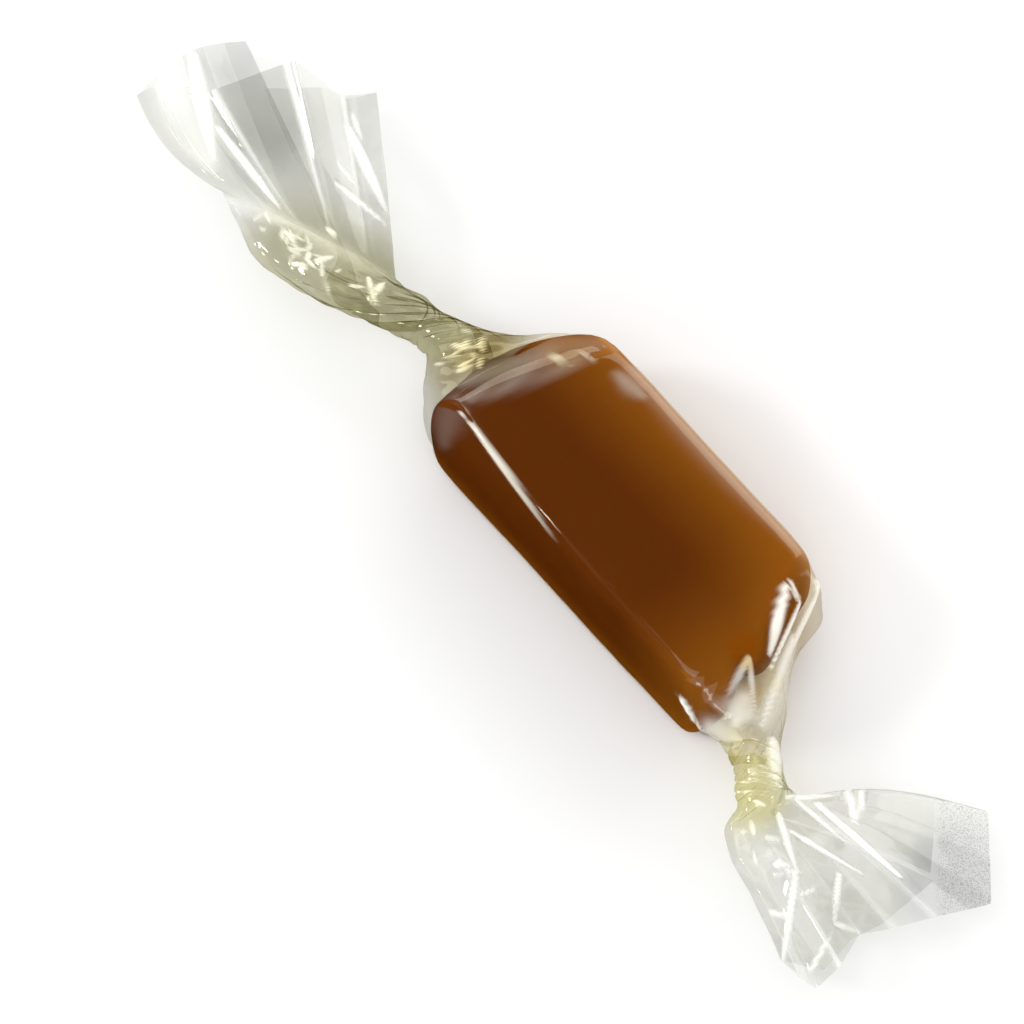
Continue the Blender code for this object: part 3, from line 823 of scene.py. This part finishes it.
class FilmShape:
    """Where each point of the flat sheet comes to lie once the sweet is wrapped and twisted."""

    def __init__(self, settings):
        self.settings = settings
        self.ribs = all_ribs(settings.air)
        lap = settings.lap
        self.around = np.linspace(-lap / 2, 1 + lap / 2, settings.columns)
        self.pleat = self.pleat_shares()

    def pleat_shares(self):
        """How far each column is folded in, from 0 on a ridge to 1 in a valley, all unlike."""
        draw = random.Random(PLEAT_SEED)
        widths = [draw.uniform(*PLEAT_WIDTHS) for _ in range(self.settings.pleats)]
        ends = np.concatenate([[0], np.cumsum(widths)]) / sum(widths)
        depths = [draw.uniform(*PLEAT_DEPTHS) for _ in widths]
        shares = np.zeros(len(self.around))
        for column, place in enumerate(self.around % 1.0):
            number = min(int(np.searchsorted(ends, place, side="right")) - 1, len(widths) - 1)
            along = (place - ends[number]) / (ends[number + 1] - ends[number])
            valley = max(0.0, 1 - abs(2 * along - 1) / VALLEY_WIDTH)
            shares[column] = smooth_step(valley) * depths[number]
        return shares

    def section(self, rib, folds=None, folded=0.0):
        """Points of the film round one rib. folded blends from a gathered tube to flat folds."""
        angle = 2 * math.pi * self.around + 1.5 * math.pi + rib["twist"]
        across, rise = -np.cos(angle), np.sin(angle)
        power = rib["square"]
        size = (np.abs(across) ** power + np.abs(rise) ** power) ** (-1 / power)
        reach = size * (1 - rib["pleat"] * self.pleat)
        reach *= 1 + LAP_STEP * (self.around > 0.5) * rib["pleat"]
        across, rise = across * reach, rise * reach
        if folds is not None:
            flat_across, flat_rise = self.folded_root(folds)
            across = across + (flat_across - across) * folded
            rise = rise + (flat_rise - rise) * folded
        low_left, top_left, top_right, low_right = rib["corners"]
        right = ((across + 1) / 2)[:, None]
        up = ((rise + 1) / 2)[:, None]
        low = low_left + (low_right - low_left) * right
        top = top_left + (top_right - top_left) * right
        return low + (top - low) * up

    def between_folds(self, folds, number):
        """One number of the folds' rows, for every column of the sheet."""
        columns = np.linspace(0, 1, len(self.around))
        return np.interp(columns, fold_shares(folds), [fold[number] for fold in folds])

    def folded_root(self, folds):
        """Places across and up the gathered root, from -1 to 1, for every column."""
        return self.between_folds(folds, 3) * 2 - 1, self.between_folds(folds, 4)

    def free_edge(self, folds):
        """Places along the fan's free edge for every column."""
        return np.stack([self.between_folds(folds, axis) for axis in range(3)], axis=1) * MM

    def fan(self, folds, root, bulges):
        """Rows from a fan's free edge to just before its root."""
        edge = self.free_edge(folds)
        across, _ = self.folded_root(folds)
        right = ((across + 1) / 2)[:, None]
        left_bulge, right_bulge = (np.array(bulge) * MM for bulge in bulges)
        bulge = left_bulge * (1 - right) ** 3 + right_bulge * right ** 3
        rows = []
        for row in range(self.settings.fan_rows):
            share = row / self.settings.fan_rows
            swell = 4 * share * (1 - share)
            rows.append(edge + (root - edge) * share + bulge * swell)
        return rows

    def rows(self):
        """Every row of the film from the head fan's free edge to the foot fan's."""
        last = len(self.ribs) - 1
        middle = []
        for index in range(last):
            steps = self.ribs[index]["rows"]
            for step in range(steps):
                middle.append((index + step / steps, rib_between(self.ribs, index, step / steps)))
        middle.append((last, self.ribs[-1]))
        rows = []
        for place, rib in middle:
            for folds, ribs_in in ((HEAD_FOLDS, place), (FOOT_FOLDS, last - place)):
                if ribs_in < BLEND_RIBS:
                    rows.append(self.section(rib, folds, smooth_step(1 - ribs_in / BLEND_RIBS)))
                    break
            else:
                rows.append(self.section(rib))
        head = self.fan(HEAD_FOLDS, rows[0], HEAD_BULGES)
        foot = self.fan(FOOT_FOLDS, rows[-1], FOOT_BULGES)
        return np.array(head + rows + foot[::-1])


class CARAMEL_OT_film(bpy.types.Operator):
    """Wrap the film: a flat sheet rolled round the block, gathered, twisted and fanned out"""

    bl_idname = "caramel.film"
    bl_label = "Film"

    def execute(self, context):
        settings = context.scene.caramel_film
        rows = FilmShape(settings).rows()
        deselect_all()
        bpy.ops.mesh.primitive_grid_add(
            x_subdivisions=len(rows) - 1, y_subdivisions=settings.columns - 1, size=1)
        film = name_new("film")
        bpy.ops.transform.resize(value=(settings.length, settings.width, 1))
        bake_place(film)
        flat = point_places(film)
        row = np.rint((flat[:, 0] / settings.length + 0.5) * (len(rows) - 1)).astype(int)
        column = np.rint((flat[:, 1] / settings.width + 0.5) * (settings.columns - 1)).astype(int)
        set_places(film, rows[row, column])
        self.crumple(film, row, len(rows), settings)
        self.tighten(film, settings)
        self.painted_crease_highlight(film, row, column, len(rows), settings)
        self.tint_layers(film, settings)
        make_active(film)
        bpy.ops.object.shade_smooth()
        film.data.materials.append(film_material(settings))
        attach(film, "root")
        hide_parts("wrapper")
        return {"FINISHED"}

    def add_group(self, film, name, weights):
        """A vertex group from one weight for each point, in steps of a tenth."""
        group = film.vertex_groups.new(name=name)
        levels = np.round(weights, 1)
        for level in np.unique(levels):
            if level > 0:
                group.add(np.nonzero(levels == level)[0].tolist(), float(level), "REPLACE")

    def crumple(self, film, row, count, settings):
        """Crushes the twists, ripples the fans and rounds the folds."""
        crush = np.zeros(len(row))
        for rows_in, (middle, reach) in ((row, HEAD_CRUSH), (count - 1 - row, FOOT_CRUSH)):
            away = np.abs(rows_in - settings.fan_rows - middle)
            crush = np.maximum(crush, np.clip(CRUSH_PEAK - away / reach, 0, 1))
        self.add_group(film, "crushed", crush)
        for name, kind, size, strength, middle, group in CRUSHES:
            texture = bpy.data.textures.new(name, kind)
            texture.noise_scale = size * MM
            apply_modifier(film, "DISPLACE", texture=texture, texture_coords="LOCAL",
                           vertex_group=group, strength=strength * MM, mid_level=middle)
        apply_modifier(film, "SMOOTH", factor=0.5, iterations=3)

    def tighten(self, film, settings):
        """Lays the sleeve on the caramel and keeps the rest outside it."""
        places = point_places(film) / MM
        head_line = np.interp(places[:, 1], *zip(*HEAD_LINE))
        foot_line = np.interp(places[:, 1], *zip(*FOOT_LINE))
        from_end = np.minimum(places[:, 0] - head_line, foot_line - places[:, 0])
        self.add_group(film, "sleeve", rise(from_end, 0, TIGHT_EASE))
        caramel = bpy.data.objects["caramel_block"]
        apply_modifier(film, "SHRINKWRAP", target=caramel, vertex_group="sleeve",
                       wrap_method="NEAREST_SURFACEPOINT", wrap_mode="OUTSIDE_SURFACE",
                       offset=settings.air)
        apply_modifier(film, "SMOOTH", factor=0.5, iterations=6, vertex_group="sleeve")
        apply_modifier(film, "SHRINKWRAP", target=caramel, offset=settings.air / 2,
                       wrap_method="NEAREST_SURFACEPOINT", wrap_mode="OUTSIDE")

    def painted_crease_highlight(self, film, row, column, count, settings):
        """Raises the creases, and paints white highlights and hazes on them and along the folds of
        the fans.
        """
        places, normals = point_places(film), point_places(film, "normal")
        from_axis = places - np.array((0, 0, AXIS_HEIGHT * MM))
        outward = np.sign((normals * from_axis).sum(axis=1))
        slack = np.array(CREASE_SLACK)
        upper = rise((normals @ slack) * outward, 0, FACING_IN_FULL)
        upper *= places[:, 2] > UPPER_SIDE * MM
        upper[np.abs(places[:, 0]) > FANS_FROM * MM] = 1
        # Painted highlights: how white each point is painted along the creases, the hazes and the
        # folds of the fans.
        painted_white = np.zeros(len(places))
        for start, end, height, width, painted_whiteness, fade in CREASES_AND_PAINTED_HIGHLIGHTS + self.crinkles():
            start, end = np.array(start) * MM, np.array(end) * MM
            run = end - start
            run -= (1 - SLACK_HEED) * (run @ slack) * slack
            offset = places - start
            offset -= (1 - SLACK_HEED) * np.outer(offset @ slack, slack)
            share = np.clip((offset @ run) / (run @ run), 0, 1)
            offset -= share[:, None] * run
            arch = np.sin(math.pi * (CREASE_START + (1 - CREASE_START) * share))
            taper = CREASE_TIP + (1 - CREASE_TIP) * arch
            aside = (offset ** 2).sum(axis=1) / (width * taper * MM) ** 2
            faded = (1 + CREASE_REST - share) ** fade
            sharpness = 2 if height > 0 else 1
            painted_white = np.maximum(painted_white, painted_whiteness * faded * np.exp(-aside ** sharpness) * upper)
            raised = outward * height * MM * faded * np.exp(-aside) * upper
            places += normals * raised[:, None]
        set_places(film, places)
        for folds, rows_in in ((HEAD_FOLDS, row), (FOOT_FOLDS, count - 1 - row)):
            along = rise(rows_in, settings.fan_rows, 0) ** FOLD_HIGHLIGHT_FADE
            for fold, share in zip(folds, fold_shares(folds)):
                aside = np.abs(column - share * (settings.columns - 1)) / FOLD_HIGHLIGHT_COLUMNS
                painted_white = np.maximum(painted_white, fold[5] * along * np.clip(1 - aside, 0, 1))
        add_layer(film, "painted_crease_highlight", "FLOAT", painted_white)

    def crinkles(self):
        """Small creases with painted white glints strewn over the crushed film, as rows like those
        of the crease table.
        """
        draw = random.Random(CRINKLE_SEED)
        rows = []
        for middle, spread, count in CRINKLE_AREAS:
            for _ in range(count):
                x = middle[0] + draw.gauss(0, CRINKLE_SCATTER) * spread[0]
                y = middle[1] + draw.gauss(0, CRINKLE_SCATTER) * spread[1]
                turn = draw.uniform(0, math.pi)
                reach = draw.uniform(*CRINKLE_REACHES)
                across, along = math.cos(turn) * reach, math.sin(turn) * reach
                rows.append(((x - across, y - along, middle[2]), (x + across, y + along, middle[2]),
                             CRINKLE_HEIGHT, draw.uniform(*CRINKLE_WIDTHS),
                             draw.uniform(*CRINKLE_PAINTED_WHITENESS), CRINKLE_FADE))
        return rows

    def tint_layers(self, film, settings):
        """Sets the light that the film lets through at each point, less where it is gathered."""
        places = point_places(film) / MM
        tints = np.tile(np.array(settings.tint), (len(places), 1))
        for x, y, reach, fade, tint in GATHERS:
            distance = np.hypot(places[:, 0] - x, places[:, 1] - y)
            share = rise(distance, reach, reach - fade)[:, None]
            tints = tints + share * ((*tint, 1.0) - tints)
        hues = (tints / tints[:, :3].max(axis=1)[:, None]) ** HUE_DEPTH
        add_layer(film, "film_tint", "FLOAT_COLOR", tints)
        add_layer(film, "film_hue", "FLOAT_COLOR", hues)


class CARAMEL_OT_stage(bpy.types.Operator):
    """Set the stage: a pale floor, soft lights and the camera"""

    bl_idname = "caramel.stage"
    bl_label = "Stage"

    def execute(self, context):
        settings = context.scene.caramel_stage
        deselect_all()
        bpy.ops.mesh.primitive_plane_add(size=FLOOR_SIZE, location=(0, 0, -FLOOR_GAP))
        floor = name_new("floor")
        bake_place(floor)
        floor.data.materials.append(floor_material(settings))
        floor.visible_glossy = False
        self.add_world(settings)
        for name, direction, size, radiance in LIGHTS:
            self.add_light(name, Vector(direction).normalized(), size, radiance)
        self.add_camera(settings)
        return {"FINISHED"}

    def add_world(self, settings):
        world = bpy.data.worlds.new("studio")
        world.use_nodes = True
        background = world.node_tree.nodes["Background"]
        background.inputs["Color"].default_value = (1, 1, 1, 1)
        background.inputs["Strength"].default_value = settings.ambient
        world.cycles_visibility.glossy = False
        bpy.context.scene.world = world

    def add_light(self, name, direction, size, radiance):
        """A soft box a metre away, whose power gives its surface the wanted radiance."""
        deselect_all()
        bpy.ops.object.light_add(type="AREA", location=direction)
        light = name_new(name)
        light.data.shape = "RECTANGLE"
        light.data.size, light.data.size_y = size
        light.data.energy = radiance * WATTS_FOR_RADIANCE * size[0] * size[1]
        light.visible_camera = False
        light.rotation_euler = (-direction).to_track_quat("-Z", "Y").to_euler()

    def add_camera(self, settings):
        azimuth, elevation = settings.azimuth, settings.elevation
        back = Vector((
            math.sin(azimuth) * math.cos(elevation),
            -math.cos(azimuth) * math.cos(elevation),
            math.sin(elevation)))
        right = Vector((math.cos(azimuth), math.sin(azimuth), 0))
        up = back.cross(right)
        target = right * settings.centre_right + up * settings.centre_up
        deselect_all()
        bpy.ops.object.camera_add(location=target + back * settings.distance)
        camera = name_new("camera")
        camera.rotation_euler = (-back).to_track_quat("-Z", "Y").to_euler()
        camera.data.lens = camera.data.sensor_width * settings.distance / settings.view_width
        camera.data.clip_start = 0.01
        bpy.context.scene.camera = camera


class CARAMEL_PT_panel(bpy.types.Panel):
    """Lists the pieces of the sweet."""

    bl_label = "Wrapped Caramel"
    bl_idname = "CARAMEL_PT_panel"
    bl_space_type = "VIEW_3D"
    bl_region_type = "UI"
    bl_category = "Caramel"

    def draw(self, context):
        scene = context.scene
        groups = (
            (scene.caramel_block, CARAMEL_OT_block),
            (scene.caramel_film, CARAMEL_OT_film),
            (scene.caramel_stage, CARAMEL_OT_stage),
        )
        for settings, operator in groups:
            box = self.layout.box()
            for name in settings.__annotations__:
                box.prop(settings, name)
            box.operator(operator.bl_idname)


CLASSES = (
    CaramelSettings, FilmSettings, StageSettings,
    CARAMEL_OT_block, CARAMEL_OT_film, CARAMEL_OT_stage, CARAMEL_PT_panel,
)


def register():
    for item in CLASSES:
        bpy.utils.register_class(item)
    bpy.types.Scene.caramel_block = PointerProperty(type=CaramelSettings)
    bpy.types.Scene.caramel_film = PointerProperty(type=FilmSettings)
    bpy.types.Scene.caramel_stage = PointerProperty(type=StageSettings)


def unregister():
    del bpy.types.Scene.caramel_stage
    del bpy.types.Scene.caramel_film
    del bpy.types.Scene.caramel_block
    for item in reversed(CLASSES):
        bpy.utils.unregister_class(item)


def main():
    register()
    bpy.ops.caramel.block()
    bpy.ops.caramel.film()
    bpy.ops.caramel.stage()
    scene = bpy.context.scene
    scene.view_settings.view_transform = "Standard"
    scene.cycles.transparent_max_bounces = 40


if __name__ == "__main__":
    main()
